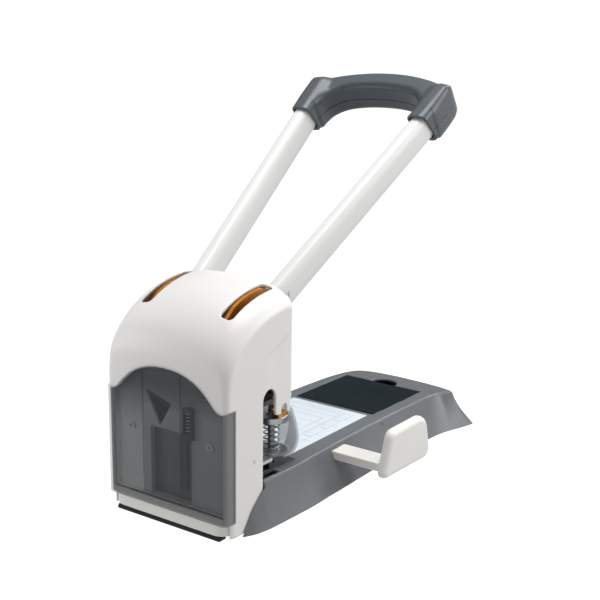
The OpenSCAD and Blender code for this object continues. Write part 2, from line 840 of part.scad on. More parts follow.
// One sector tooth centred on angle 0
module gear_tooth() {
    rb = pitch_r * cos(pressure_angle);
    root = pitch_r - dedendum;
    tip = pitch_r + addendum;
    half = (PI * tooth_m / 4 - backlash / 2) / pitch_r * 180 / PI + involute_angle(rb, pitch_r);
    flank = [for (i = [0:6]) let (r = max(root, rb) + (tip - max(root, rb)) * i / 6)
        [r, half - involute_angle(rb, r)]];
    upper = [for (f = flank) f[0] * [cos(f[1]), sin(f[1])]];
    lower = [for (i = [6:-1:0]) flank[i][0] * [cos(flank[i][1]), -sin(flank[i][1])]];
    foot = half + 0.1;
    polygon(concat([(root - 1) * [cos(foot), -sin(foot)], (root - 1) * [cos(foot), sin(foot)]],
        upper, lower));
}

// Toothed sector, with teeth that reach the rack over the whole stroke
module gear_sector() {
    root = pitch_r - dedendum;
    polygon(concat([[0, 0]], arc(0, 0, root, -18, 46, 16)));
    for (i = [-1:3]) rotate(i * 360 / gear_teeth) gear_tooth();
}

// Angle and radius pairs of the plate's rim, which follows the dome from inside
lever_rim = [[46, 45.5], [50, 44.5], [58, 43.8], [64, 43.2], [70, 41.2], [76, 39.4], [82, 38],
    [88, 36.8], [94, 36], [100, 35.4], [106, 35.1], [120, 35], [140, 35], [152, 35.3]];

// Fan-shaped plate with the tongue that the arm is riveted to
module lever_plate_outline() {
    polygon(concat([[0, 0], 46 * [cos(lever_rise), sin(lever_rise)]],
        [for (q = lever_rim) q[1] * [cos(q[0]), sin(q[0])]]));
    rotate(lever_rise) translate([0, -7]) square([stub_end, 14]);
}

module lever_gear() {
    difference() {
        union() {
            translate([0, -pivot_fwd, pivot_z]) {
                along_x(plate_x, plate_x + plate_t) lever_plate_outline();
                along_x(36.5, 52) circle(r = 14);
                along_x(gear_x0, gear_x1) gear_sector();
            }
        }
        along_x(30, 60) translate([-pivot_fwd, pivot_z]) circle(r = shaft_r);
        in_arm_plane() along_x(30, 60) for (s = rivets) translate([s, 0]) circle(r = 2.2);
    }
}

module lever_gear_right() { color(orange) lever_gear(); }
module lever_gear_left() { color(orange) mirror([1, 0, 0]) lever_gear(); }

module oval(width, height) {
    square([width, height - width], center = true);
    for (side = [-1, 1]) translate([0, side * (height - width) / 2]) circle(d = width);
}

// Straight length of oval tube or bar along an arm
module along_arm(s0, s1, width, height) {
    in_arm_plane() translate([arm_x0, 0, 0]) rotate([0, 0, -splay]) translate([0, s0, 0])
        rotate([-90, 0, 0]) linear_extrude(s1 - s0) oval(width, height);
}

module arm() {
    difference() {
        along_arm(tube_start, arm_end, arm_w, arm_h);
        along_arm(tube_start - 1, arm_end + 1, arm_w - 4, arm_h - 4);
        in_arm_plane() along_x(25, 60) for (s = rivets) translate([s, 0]) circle(r = 2.2);
    }
}

module arm_right() { color(white_abs) arm(); }
module arm_left() { color(white_abs) mirror([1, 0, 0]) arm(); }

module arm_rivets() {
    color(zinc) both_sides() in_arm_plane() for (s = rivets) {
        x = arm_x0 + s * tan(splay);
        along_x(x - arm_w / 2 - 1, x + arm_w / 2 + 1) translate([s, 0]) circle(r = 2.2);
    }
}

// Half outline of the crossbar in the plane of the arms: outer edge, then inner edge
function grip_outer(inset) = concat(
    [[arm_x0 + sleeve_w / 2 + bar_start * tan(splay) - inset, bar_start + inset]],
    arc(61.5, 322, 16 - inset, 0, 62, 8),
    [for (i = [1:8]) let (x = 60 - 7.5 * i) [x, bar_outer - inset - 0.0034 * x * x]]);

function grip_inner(inset) = concat(
    [for (i = [0:5]) let (x = 6 * i) [x, bar_inner + inset - 0.004 * x * x]],
    arc(36.5, 301, 14 + inset, 62, 0, 8),
    [[arm_x0 - sleeve_w / 2 + bar_start * tan(splay) + inset, bar_start + inset]]);

module grip_outline(inset) {
    half = concat(grip_outer(inset), grip_inner(inset));
    polygon(half);
    mirror([1, 0]) polygon(half);
}

// Layer of the crossbar between two heights above the plane of the arms
module grip_layer(t0, t1, inset) {
    in_arm_plane() translate([0, 0, t0]) linear_extrude(t1 - t0) grip_outline(inset);
}

// Oval sleeves round the ends of both arms, between two heights above their plane
module grip_sleeves(t0, t1) {
    intersection() {
        both_sides() along_arm(sleeve_start, sleeve_end, sleeve_w, sleeve_h);
        in_arm_plane() block([-100, sleeve_start - 20, t0], [100, sleeve_end + 20, t1]);
    }
}

// Hollow that holds the ends of both arms
module grip_sockets() {
    both_sides() along_arm(sleeve_start - 5, arm_end, arm_w, arm_h);
}

module grip_upper() {
    color(grip_grey) difference() {
        union() {
            grip_layer(grip_split, bar_top - 4, 0);
            grip_layer(bar_top - 4 - eps, bar_top, 3);
            grip_sleeves(grip_split, sleeve_h);
        }
        grip_sockets();
        grip_screw_holes();
    }
}

module grip_lower() {
    color(grip_grey) difference() {
        union() {
            grip_layer(bar_bottom + 4, grip_split, 0);
            grip_layer(bar_bottom, bar_bottom + 4 + eps, 3);
            grip_sleeves(-sleeve_h, grip_split);
        }
        grip_sockets();
        grip_screw_holes();
    }
}

module grip_screw_holes() {
    in_arm_plane() for (x = [-24, 24]) {
        post(x, grip_screw_s, -30, 10, 1.6);
        post(x, grip_screw_s, -30, -16, 3.4);
    }
}

module grip_screws() {
    color(zinc) in_arm_plane() for (x = [-24, 24]) translate([x, grip_screw_s, -16])
        rotate([180, 0, 0]) screw(1.6, 24, 3.3, 1.6);
}

base_shell();
bottom_cover();
foot_pads();
base_screws();
die_plate();
die_screws();
paper_stop();
bed_label();
storage_tray();
storage_lid();
lid_hinge_pin();
guide_rail();
guide_arm();
guide_paddle();
guide_screw();
head_frame();
frame_bolts();
upper_guide_plate();
lower_guide_plate();
plate_screws();
pivot_bushes();
head_housing();
housing_screws();
rear_cover();
inner_panel();
panel_screws();
cover_catch();
catch_spring();
front_cover();
chip_drawer();
guard_left();
guard_right();
crosshead();
punch_left();
punch_right();
punch_clips();
rack_left();
rack_right();
rack_screws();
spring_left();
spring_right();
pivot_shaft();
pivot_clips();
lever_gear_left();
lever_gear_right();
arm_left();
arm_right();
arm_rivets();
grip_upper();
grip_lower();
grip_screws();
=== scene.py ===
"""Looks of a two-hole lever punch, built round its CAD frame.
Lengths are in mm in the frame's axes (X right, Y back, Z up) unless a name ends in _m.
"""

import math
import random

import bmesh
import bpy
import numpy as np
import openvdb as vdb
from mathutils import Matrix, Vector


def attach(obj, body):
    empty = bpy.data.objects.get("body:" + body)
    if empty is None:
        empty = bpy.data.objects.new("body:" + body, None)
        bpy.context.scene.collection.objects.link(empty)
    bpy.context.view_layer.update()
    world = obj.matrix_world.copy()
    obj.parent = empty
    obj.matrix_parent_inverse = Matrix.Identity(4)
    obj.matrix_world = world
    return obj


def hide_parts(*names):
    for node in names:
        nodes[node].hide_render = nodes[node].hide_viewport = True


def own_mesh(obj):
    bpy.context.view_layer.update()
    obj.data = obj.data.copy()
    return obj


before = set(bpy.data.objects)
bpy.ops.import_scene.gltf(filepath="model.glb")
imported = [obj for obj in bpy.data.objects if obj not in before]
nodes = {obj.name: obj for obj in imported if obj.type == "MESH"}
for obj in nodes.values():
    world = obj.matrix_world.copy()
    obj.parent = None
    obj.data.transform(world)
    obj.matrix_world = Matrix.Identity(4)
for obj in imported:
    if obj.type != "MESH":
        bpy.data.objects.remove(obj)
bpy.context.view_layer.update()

F = np.float32

# ---------------------------------------------------------------- materials


# Pointiness where rubbed edges begin and where they are fully rubbed
EDGE_POINTINESS = (0.53, 0.60)
# The part of a noise texture's range that carries its pattern
NOISE_SPAN = (0.3, 0.7)


class Look:
    """Builds one node material round a Principled shader."""

    def __init__(self, name, **uniform):
        self.material = bpy.data.materials.new(name)
        self.material.use_nodes = True
        self.tree = self.material.node_tree
        self.shader = self.tree.nodes["Principled BSDF"]
        self.coords = self.node("ShaderNodeTexCoord")
        for socket, value in uniform.items():
            self.set(socket.replace("_", " "), value)

    def node(self, kind, **inputs):
        n = self.tree.nodes.new(kind)
        for name, value in inputs.items():
            n.inputs[name.replace("_", " ")].default_value = value
        return n

    def set(self, socket, value):
        target = self.shader.inputs[socket]
        if socket == "Base Color" and len(value) == 3:
            value = (*value, 1)
        target.default_value = value

    def link(self, a, b):
        self.tree.links.new(a, b)

    def noise(self, scale, detail=3.0, roughness=0.5, stretch=None):
        n = self.node("ShaderNodeTexNoise", Scale=scale, Detail=detail, Roughness=roughness)
        if stretch:
            m = self.node("ShaderNodeMapping", Scale=stretch)
            self.link(self.coords.outputs["Object"], m.inputs["Vector"])
            self.link(m.outputs["Vector"], n.inputs["Vector"])
        else:
            self.link(self.coords.outputs["Object"], n.inputs["Vector"])
        return n.outputs["Fac"]

    def ramp(self, value, low, high, out_low=0.0, out_high=1.0):
        r = self.node("ShaderNodeMapRange", From_Min=low, From_Max=high, To_Min=out_low,
                      To_Max=out_high)
        r.interpolation_type = "SMOOTHSTEP"
        self.link(value, r.inputs["Value"])
        return r.outputs["Result"]

    def math(self, operation, a, b):
        m = self.node("ShaderNodeMath")
        m.operation = operation
        for socket, value in zip(m.inputs, (a, b)):
            if isinstance(value, (int, float)):
                socket.default_value = value
            else:
                self.link(value, socket)
        return m.outputs[0]

    def mix(self, factor, a, b):
        m = self.node("ShaderNodeMix")
        m.data_type = "RGBA"
        self.link(factor, m.inputs[0])
        for socket, value in zip((m.inputs[6], m.inputs[7]), (a, b)):
            if isinstance(value, tuple):
                socket.default_value = (*value[:3], 1)
            else:
                self.link(value, socket)
        return m.outputs[2]

    def vary_roughness(self, low, high, scale=35.0):
        gloss = self.ramp(self.noise(scale), *NOISE_SPAN, low, high)
        self.link(gloss, self.shader.inputs["Roughness"])

    def bump(self, height, strength, distance_m):
        b = self.node("ShaderNodeBump", Strength=strength, Distance=distance_m)
        self.link(height, b.inputs["Height"])
        self.link(b.outputs["Normal"], self.shader.inputs["Normal"])

    def edge_wear(self):
        """1 on convex edges, 0 elsewhere."""
        g = self.node("ShaderNodeNewGeometry")
        return self.ramp(g.outputs["Pointiness"], *EDGE_POINTINESS)


def plastic(name, color, tint, rough, grain, bump, worn=None, **uniform):
    """Moulded plastic: slow tint variation, uneven gloss, fine grain and lighter rubbed edges; on
    the dark base the lighter edges are also a painted highlight along its crease.
    """
    look = Look(name, **uniform)
    base = look.mix(look.ramp(look.noise(9.0, 2.0), *NOISE_SPAN), color, tint)
    if worn:
        rub_and_sheen = look.math("MULTIPLY", look.edge_wear(), look.ramp(look.noise(140.0), 0.35, 0.75))
        base = look.mix(rub_and_sheen, base, worn)
    look.link(base, look.shader.inputs["Base Color"])
    look.vary_roughness(*rough)
    look.bump(look.noise(grain, 2.0), bump, 0.0002)
    return look.material


def metal(name, color, tint, rough, stretch, worn=None):
    """Plated or ground metal: directional fine scratches and cloudy plating."""
    look = Look(name, Metallic=1.0)
    clouds = look.ramp(look.noise(60.0, 4.0), *NOISE_SPAN)
    base = look.mix(clouds, color, tint)
    if worn:
        base = look.mix(look.edge_wear(), base, worn)
    look.link(base, look.shader.inputs["Base Color"])
    scratches = look.noise(240.0, 3.0, 0.6, stretch)
    look.link(look.ramp(scratches, *NOISE_SPAN, *rough), look.shader.inputs["Roughness"])
    look.bump(scratches, 0.12, 0.0001)
    return look.material


def make_materials():
    # The roughness of whites, grip and metals starts at 0.29 or more: with lower values
    # the white housing showed faint patches
    m = {}
    m["white"] = plastic("white_abs", (0.835, 0.82, 0.80), (0.845, 0.83, 0.815), (0.29, 0.36),
                         900.0, 0.03, IOR=1.45)
    m["arm_white"] = plastic("arm_white", (0.835, 0.83, 0.82), (0.845, 0.84, 0.83), (0.30, 0.38),
                             700.0, 0.04, IOR=1.46)
    m["cream"] = plastic("cream_abs", (0.86, 0.84, 0.80), (0.88, 0.86, 0.82), (0.36, 0.46),
                         700.0, 0.06, (0.86, 0.84, 0.80), IOR=1.46)
    # The base's light edge colour is partly wear and partly a painted highlight along its crease
    m["base"] = plastic("base_grey", (0.138, 0.147, 0.158), (0.154, 0.164, 0.177), (0.34, 0.44),
                        1500.0, 0.06, (0.34, 0.35, 0.37), IOR=1.5)
    m["grip"] = plastic("grip_grey", (0.070, 0.085, 0.098), (0.085, 0.100, 0.114), (0.30, 0.40),
                        1300.0, 0.08, (0.14, 0.16, 0.18), IOR=1.5)
    m["black"] = plastic("black_gloss", (0.005, 0.012, 0.016), (0.008, 0.016, 0.021), (0.10, 0.18),
                         260.0, 0.05, (0.03, 0.035, 0.04), Specular_IOR_Level=0.12)
    m["rubber"] = plastic("rubber", (0.010, 0.010, 0.011), (0.018, 0.018, 0.019), (0.62, 0.80),
                          1800.0, 0.25)
    m["panel"] = panel_grey()
    m["dark_panel"] = plastic("dark_panel", (0.05, 0.055, 0.06), (0.06, 0.065, 0.07),
                              (0.40, 0.52), 1200.0, 0.02)
    m["dark_steel"] = metal("dark_steel", (0.10, 0.105, 0.11), (0.14, 0.145, 0.15), (0.34, 0.5),
                            (1, 12, 1), (0.20, 0.21, 0.22))
    m["sheet"] = plastic("sheet", (0.82, 0.89, 0.965), (0.85, 0.92, 0.98), (0.16, 0.24),
                         500.0, 0.02, Coat_Weight=0.3)
    m["ink"] = plastic("ink", (0.16, 0.22, 0.30), (0.20, 0.26, 0.34), (0.30, 0.40), 700.0, 0.02)
    m["zinc"] = metal("zinc", (0.50, 0.52, 0.53), (0.60, 0.62, 0.63), (0.29, 0.42),
                      (1, 1, 14), (0.75, 0.76, 0.78))
    m["steel"] = metal("steel", (0.40, 0.41, 0.42), (0.48, 0.49, 0.50), (0.29, 0.40),
                       (1, 12, 1), (0.66, 0.67, 0.68))
    m["bronze"] = metal("bronze", (0.44, 0.31, 0.14), (0.52, 0.38, 0.19), (0.35, 0.5), (1, 1, 1))
    m["orange"] = metal("orange_plate", (0.74, 0.28, 0.035), (0.80, 0.34, 0.06), (0.34, 0.50),
                        (1, 10, 1), (0.84, 0.46, 0.13))
    m["smoke"] = smoke("smoke_clear", (0.045, 0.058, 0.070), 0.32)
    m["guard"] = smoke("guard_clear", (0.16, 0.175, 0.20), 0.34)
    return m


def panel_grey():
    """Grey panel with painted shade: darker in its recess, towards the top where the housing shades
    it, and right of its left seam.
    """
    look = Look("panel_grey")
    split = look.node("ShaderNodeSeparateXYZ")
    look.link(look.coords.outputs["Object"], split.inputs[0])
    x, y, z = split.outputs
    # Painted shade masks: towards the top, in the recess and right of the left seam
    top = look.ramp(z, 0.070, 0.125, 0.0, 0.88)
    recess = look.ramp(y, -0.0822, -0.0790, 0.0, 0.80)
    painted_seam_shade = look.ramp(x, -0.0310, -0.0300, 0.0, 0.42)
    grime = look.ramp(look.noise(16.0, 2.0), *NOISE_SPAN, 0.0, 0.08)
    # The painted shade, plus a little random grime
    shade = look.math("MAXIMUM", look.math("MAXIMUM", top, recess), painted_seam_shade)
    shade = look.math("ADD", shade, grime)
    look.link(look.mix(shade, (0.86, 0.88, 0.90), (0.045, 0.06, 0.07)),
              look.shader.inputs["Base Color"])
    look.vary_roughness(0.44, 0.54)
    look.bump(look.noise(1600.0, 2.0), 0.015, 0.0002)
    return look.material


def smoke(name, color, alpha):
    """Smoke-grey clear plastic, slightly uneven."""
    look = Look(name, Base_Color=color, Alpha=alpha, IOR=1.49, Specular_IOR_Level=1.0)
    look.vary_roughness(0.04, 0.08, 18.0)
    look.bump(look.noise(9.0, 1.0), 0.03, 0.0002)
    return look.material


MATERIAL = make_materials()

# ---------------------------------------------------------------- distance fields


def rmax(a, b, r):
    """Intersection of two distance fields with an edge of radius r."""
    return (np.minimum(np.maximum(a, b), F(-r))
            + np.sqrt(np.maximum(a + F(r), 0) ** 2 + np.maximum(b + F(r), 0) ** 2))


def rmin(a, b, r):
    """Union of two distance fields with a fillet of radius r."""
    return -rmax(-a, -b, r)


def smooth(x, low, high):
    t = np.clip((x - low) / (high - low), 0, 1)
    return t * t * (3 - 2 * t)


def box2(a, b, ca, cb, ha, hb, r=0.0):
    """Rounded rectangle about (ca, cb) with half sizes ha and hb."""
    qa, qb = np.abs(a - F(ca)) - F(ha - r), np.abs(b - F(cb)) - F(hb - r)
    return (np.sqrt(np.maximum(qa, 0) ** 2 + np.maximum(qb, 0) ** 2)
            + np.minimum(np.maximum(qa, qb), 0) - F(r))


def slab(a, low, high):
    return np.abs(a - F((low + high) / 2)) - F((high - low) / 2)


def poly(a, b, points):
    """Signed distance to a closed polygon in the plane of a and b."""
    a, b = np.broadcast_arrays(a, b)
    best = np.full(a.shape, 1e9, F)
    inside = np.zeros(a.shape, bool)
    for (xa, ya), (xb, yb) in zip(points, points[1:] + points[:1]):
        ex, ey = xb - xa, yb - ya
        length2 = ex * ex + ey * ey
        if length2 < 1e-9:
            continue
        wx, wy = a - F(xa), b - F(ya)
        t = np.clip((wx * F(ex) + wy * F(ey)) / F(length2), 0, 1)
        best = np.minimum(best, (wx - F(ex) * t) ** 2 + (wy - F(ey) * t) ** 2)
        crosses = (ya > b) != (yb > b)
        if ey:
            inside ^= crosses & (a < F(ex / ey) * (b - F(ya)) + F(xa))
    return np.where(inside, -np.sqrt(best), np.sqrt(best)).astype(F)


def curve(points, steps=6, closed=False):
    """Catmull-Rom curve through 2D or 3D points."""
    p = [np.array(q, float) for q in points]
    n = len(p)
    out = []
    for i in range(n if closed else n - 1):
        if closed:
            a, b, c, d = (p[(i + k) % n] for k in (-1, 0, 1, 2))
        else:
            a, b, c, d = p[max(i - 1, 0)], p[i], p[i + 1], p[min(i + 2, n - 1)]
        for k in range(steps):
            t = k / steps
            out.append(0.5 * (2 * b + (c - a) * t + (2 * a - 5 * b + 4 * c - d) * t ** 2
                              + (3 * b - a - 3 * c + d) * t ** 3))
    if not closed:
        out.append(p[-1])
    return [tuple(map(float, q)) for q in out]


def arc(cx, cy, r, a0, a1, n=10):
    return [(cx + r * math.cos(math.radians(a0 + (a1 - a0) * i / n)),
             cy + r * math.sin(math.radians(a0 + (a1 - a0) * i / n))) for i in range(n + 1)]


class Space:
    """A block of sample points. With half=True only x > 0 is held, and the mesh is mirrored."""

    def __init__(self, low, high, step, half=False):
        self.step, self.half = step, half
        self.low = list(low)
        if half:
            self.low[0] = step / 2
        n = [int(math.ceil((h - l) / step)) + 1 for l, h in zip(self.low, high)]
        self.n = n
        ax = [(self.low[i] + np.arange(n[i], dtype=np.float64) * step).astype(F) for i in range(3)]
        self.x, self.y, self.z = ax[0][:, None, None], ax[1][None, :, None], ax[2][None, None, :]

    def mesh(self, name, field, transform=None, most_faces=90_000):
        """Mesh of the surface where the field is zero, with normals from the field's gradient."""
        field = np.ascontiguousarray(np.broadcast_to(field, self.n), dtype=F)
        low = np.array(self.low)
        if self.half:
            field = np.concatenate([field[::-1], field])
            low[0] = -self.step * (self.n[0] - 0.5)
        field = np.ascontiguousarray(np.pad(field, 1, constant_values=F(self.step)))
        grid = vdb.FloatGrid()
        grid.copyFromArray(field)
        points, tris, quads = grid.convertToPolygons(isovalue=0.0, adaptivity=0.0)
        ob = thin_out(build(name, (points - 1) * self.step + low, tris, quads), most_faces)
        n = len(ob.data.vertices)
        co = np.empty(n * 3, F)
        ob.data.vertices.foreach_get("co", co)
        at = (co.reshape(-1, 3) * 1000 - low) / self.step + 1
        normals = np.stack([sample(field, at + d) - sample(field, at - d)
                            for d in np.eye(3, dtype=F) * F(0.6)], 1)
        normals /= np.linalg.norm(normals, axis=1, keepdims=True) + 1e-9
        flat = np.empty(n * 3, F)
        ob.data.vertex_normals.foreach_get("vector", flat)
        flat = flat.reshape(-1, 3)
        # At sharp edges the gradient says little, so the mesh's own normal stays
        agree = (normals * flat).sum(1)[:, None]
        normals = np.where(agree > 0.75, normals, flat)
        if transform is not None:
            ob.data.transform(Matrix.LocRotScale(transform.to_translation() / 1000,
                                                 transform.to_3x3().to_quaternion(),
                                                 transform.to_scale()))
            normals = normals @ np.array(transform.to_3x3().normalized()).T
        ob.data.normals_split_custom_set_from_vertices(normals.tolist())
        return ob


def sample(field, at):
    """Trilinear sample of a field at points given in grid steps."""
    at = np.clip(at, 0, np.array(field.shape) - 1.001)
    i = at.astype(np.int32)
    f = (at - i).astype(F)
    out = np.zeros(len(at), F)
    for dx in (0, 1):
        for dy in (0, 1):
            for dz in (0, 1):
                w = ((f[:, 0] if dx else 1 - f[:, 0]) * (f[:, 1] if dy else 1 - f[:, 1])
                     * (f[:, 2] if dz else 1 - f[:, 2]))
                out += w * field[i[:, 0] + dx, i[:, 1] + dy, i[:, 2] + dz]
    return out


def build(name, points, tris=(), quads=()):
    """Mesh object from points in mm, its faces turned outwards."""
    tris, quads = np.array(tris, int).reshape(-1, 3), np.array(quads, int).reshape(-1, 4)
    me = bpy.data.meshes.new(name)
    me.vertices.add(len(points))
    me.vertices.foreach_set("co", (np.asarray(points) / 1000).astype(F).ravel())
    loops = np.concatenate([tris.ravel(), quads.ravel()])
    totals = np.concatenate([np.full(len(tris), 3), np.full(len(quads), 4)])
    me.loops.add(len(loops))
    me.loops.foreach_set("vertex_index", loops.astype(np.int32))
    me.polygons.add(len(totals))
    starts = np.concatenate([[0], np.cumsum(totals)[:-1]])
    me.polygons.foreach_set("loop_start", starts.astype(np.int32))
    me.update(calc_edges=True)
    me.validate()
    ob = bpy.data.objects.new(name, me)
    bpy.context.scene.collection.objects.link(ob)
    bm = bmesh.new()
    bm.from_mesh(me)
    if bm.calc_volume(signed=True) < 0:
        bmesh.ops.reverse_faces(bm, faces=bm.faces)
    bm.to_mesh(me)
    bm.free()
    me.polygons.foreach_set("use_smooth", [True] * len(me.polygons))
    return ob


def thin_out(ob, most_faces):
    """Keeps a dense mesh below a face count."""
    triangles = sum(len(p.vertices) - 2 for p in ob.data.polygons)
    if triangles > most_faces:
        mod = ob.modifiers.new("thin", "DECIMATE")
        mod.ratio = most_faces / triangles
        bpy.context.view_layer.objects.active = ob
        with bpy.context.temp_override(object=ob, active_object=ob, selected_objects=[ob]):
            bpy.ops.object.modifier_apply(modifier=mod.name)
        ob.data.polygons.foreach_set("use_smooth", [True] * len(ob.data.polygons))
    return ob


def finish_piece(ob, material, body, replaces=()):
    ob.data.materials.clear()
    ob.data.materials.append(MATERIAL[material])
    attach(ob, body)
    if replaces:
        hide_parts(*replaces)
    return ob


# ---------------------------------------------------------------- head

HALF_W = 65.0
WALL = 3
COVER_FRONT = 93.5
HOUSING_FRONT = 91.5
REAR = -6.0
TOP = 200.3
DOME_Z = 145.0
CORNER_R = 6.0
DOME_SAG = 0.0022
DOME_CORNER_R = 16
COVER_FOOT = 14.8
SCREW_X, SCREW_Z = 42.4, 77
PUNCH_X = 40

ARCH = curve([(0, 137), (12, 136.2), (24, 133.2), (35, 128), (44, 120.6), (50, 114.4),
              (53.2, 111.4), (56.5, 109.8), (60, 109.3), (62.8, 109.9), (65, 111)], 5)


def cover_outline():
    right = [(HALF_W, COVER_FOOT)] + ARCH[::-1]
    return right + [(-x, z) for x, z in ARCH[1:]] + [(-HALF_W, COVER_FOOT)]


def window_field(arch, x, z, gap):
    """The opening behind the cover: close to its arched edge, well inside its sides and foot."""
    return np.maximum(np.maximum(arch + F(gap + 1.2), np.abs(x) - F(60 - gap)), F(19.8 + gap) - z)


def plan_field(s, front, r):
    """Distance to the plan outline: flat front at -front, sides at HALF_W, corner radius r."""
    return rmax(-s.y - F(front), s.x - F(HALF_W), r)


def profile_field(s, front, top):
    """Distance to the head's side profile: a vertical front that turns into an elliptical dome."""
    a, b = front + REAR, top - DOME_Z
    u = s.y - F(REAR)
    v = np.maximum(s.z + F(DOME_SAG) * s.x ** 2 - F(DOME_Z), 0)
    k0 = np.sqrt((u / F(a)) ** 2 + (v / F(b)) ** 2)
    k1 = np.sqrt((u / F(a * a)) ** 2 + (v / F(b * b)) ** 2) + F(1e-6)
    return (k0 * (k0 - 1) / k1).astype(F)


def head_outer(s):
    lift = smooth(s.z, 120.0, 170.0)
    r = 6 + DOME_CORNER_R * lift
    a, b = profile_field(s, HOUSING_FRONT, TOP), s.x - F(HALF_W) - F(4) * lift
    d = (np.minimum(np.maximum(a, b), -r)
         + np.sqrt(np.maximum(a + r, 0) ** 2 + np.maximum(b + r, 0) ** 2))
    d = rmax(d, s.x - F(HALF_W), 1.0)
    # The lower rear of the side wall steps in along a slanting crease
    crease = F(149.4) + F(0.44) * (s.y + F(32.4))
    inset = smooth(crease - s.z, 0.0, 1.6) * smooth(s.y, -44.0, -24.0) * (s.x > 50)
    return d + (F(0.9) * inset).astype(F)


def side_opening():
    return ([(-44, -20), (-44, 107.5)] + arc(-35, 107.5, 9.0, 180, 0, 16)
            + [(-26, 97)] + arc(-22, 94.5, 4, 180, 270, 6) + [(-17.8, 90.4), (-17.6, 95)]
            + arc(-14, 95.2, 3.6, 180, 0, 10) + [(-10.3, 91), (-6, 89.6), (40, 89), (40, -20)])


def make_housing():
    s = Space((0, -94.5, 0.5), (66.5, -5, 202), 0.6, half=True)
    outer = head_outer(s)
    shell = rmax(outer, -(outer + F(WALL)), 0.8)
    # Thicker corners behind the edges of the cover
    corner = np.maximum(np.maximum(outer, F(60.2) - s.x), np.maximum(s.y + F(77.5), s.z - F(145)))
    shell = np.minimum(shell, corner)
    # Seat of the cover, and the window behind it
    flat_x, flat_z = s.x[:, 0, :], s.z[0, :, :]
    arch = poly(flat_x, flat_z, cover_outline())[:, None, :]
    seat = np.maximum(np.maximum(arch - F(0.4), s.y + F(80.1)),
                      -plan_field(s, COVER_FRONT, CORNER_R) - F(2.2))
    shell = rmax(shell, -seat, 0.35)
    window = np.maximum(window_field(arch, s.x, s.z, 0), s.y + F(76))
    shell = rmax(shell, -window, 0.6)
    # Side opening, drawer mouth and lever slots
    opening = np.maximum(poly(s.y[0], s.z[0], side_opening())[None], F(58) - s.x)
    shell = rmax(shell, -opening, 0.9)
    mouth = np.maximum(box2(s.x, s.z, 0, 6.5, 62.3, 8, 0.5), s.y + F(79.5))
    mouth = np.maximum(mouth, s.z - F(14.5))
    shell = rmax(shell, -mouth, 0.3)
    slot = np.maximum(box2(s.x, s.y, 42.7, -38, 6.1, 28.2, 4.0), F(160) - s.z)
    shell = rmax(shell, -slot, 0.9)
    # Below the cover the corners are rounder, in line with the drawer's
    shell = rmax(shell, -np.maximum(-plan_field(s, HOUSING_FRONT, 13), s.z - F(14.6)), 0.3)
    shell = rmax(shell, s.y - F(REAR), 0.7)
    shell = rmax(shell, F(2) - s.z, 0.5)
    ob = s.mesh("housing_shell", shell, most_faces=190_000)
    return finish_piece(ob, "white", "base", ("head_housing",))


def make_cover():
    s = Space((0, -95, 13), (66, -79, 139), 0.5, half=True)
    skin = plan_field(s, COVER_FRONT, CORNER_R)
    shell = rmax(skin, -(skin + F(1.8)), 0.4)
    arch = poly(s.x[:, 0, :], s.z[0, :, :], cover_outline())[:, None, :]
    shell = rmax(shell, arch, 0.45)
    shell = rmax(shell, s.y + F(80.5), 0.4)
    ob = s.mesh("clear_cover", shell, most_faces=120_000)
    return finish_piece(ob, "smoke", "cover", ("front_cover",))


def make_rear_cover():
    s = Space((0, -7, 97), (62.5, 11.5, 199), 0.7, half=True)
    back = rmax(s.y - F(10), s.z + F(DOME_SAG) * s.x ** 2 - F(197.1), 14)
    outer = rmax(back, s.x - F(61.3), 15.5)
    shell = rmax(outer, -(outer + F(2.5)), 0.6)
    slot = np.maximum(box2(s.x, s.z, 42.6, 190, 10.6, 48, 5), F(-30) - s.y)
    shell = rmax(shell, -slot, 0.8)
    shell = rmax(shell, F(-5.9) - s.y, 0.3)
    shell = rmax(shell, F(98.2) - s.z, 0.5)
    ob = s.mesh("rear_shell", shell)
    return finish_piece(ob, "white", "base", ("rear_cover",))


def make_panel():
    """Inner panel: chute recess, triangular opening, two upright seams and a rim."""
    s = Space((-60.5, -89, 19), (60.5, -66, 137), 0.5)
    arch = poly(np.abs(s.x[:, 0, :]), s.z[0], cover_outline())[:, None, :]
    edge = window_field(arch, s.x, s.z, 0.6)
    face = rmax(edge, slab(s.y, -85, -82.5), 0.3)
    rim = np.maximum(np.maximum(edge, -(edge + F(1.5))), slab(s.y, -88, -84.9))
    box = np.maximum(box2(s.x, s.z, 0, 51.2, 23.4, 31.4, 1.5), slab(s.y, -82.6, -75.5))
    from_screw = np.sqrt((np.abs(s.x) - F(SCREW_X)) ** 2 + (s.z - F(SCREW_Z)) ** 2)
    posts = np.maximum(from_screw - F(4), slab(s.y, -82.6, -66.1))
    solid = np.minimum(np.minimum(face, rim), np.minimum(box, posts))
    recess = np.maximum(box2(s.x, s.z, 0, 51.2, 21.8, 29.8, 1.0), s.y + F(77.6))
    solid = rmax(solid, -recess, 0.4)
    hatch = poly(s.x[:, 0, :], s.z[0], [(-27, 112.5), (1, 104), (-11.5, 83.5)])[:, None, :]
    solid = rmax(solid, -hatch, 0.3)
    solid = np.maximum(solid, F(1.65) - from_screw)
    # Seams that cut halfway through the face
    for x, z0 in ((-30.5, 35), (11, 36)):
        seam = np.maximum(np.maximum(np.abs(s.x - F(x)) - F(0.55), F(z0) - s.z), s.y + F(83.6))
        solid = np.maximum(solid, -seam)
    ob = s.mesh("panel_face", solid, most_faces=160_000)
    return finish_piece(ob, "panel", "base", ("inner_panel",))


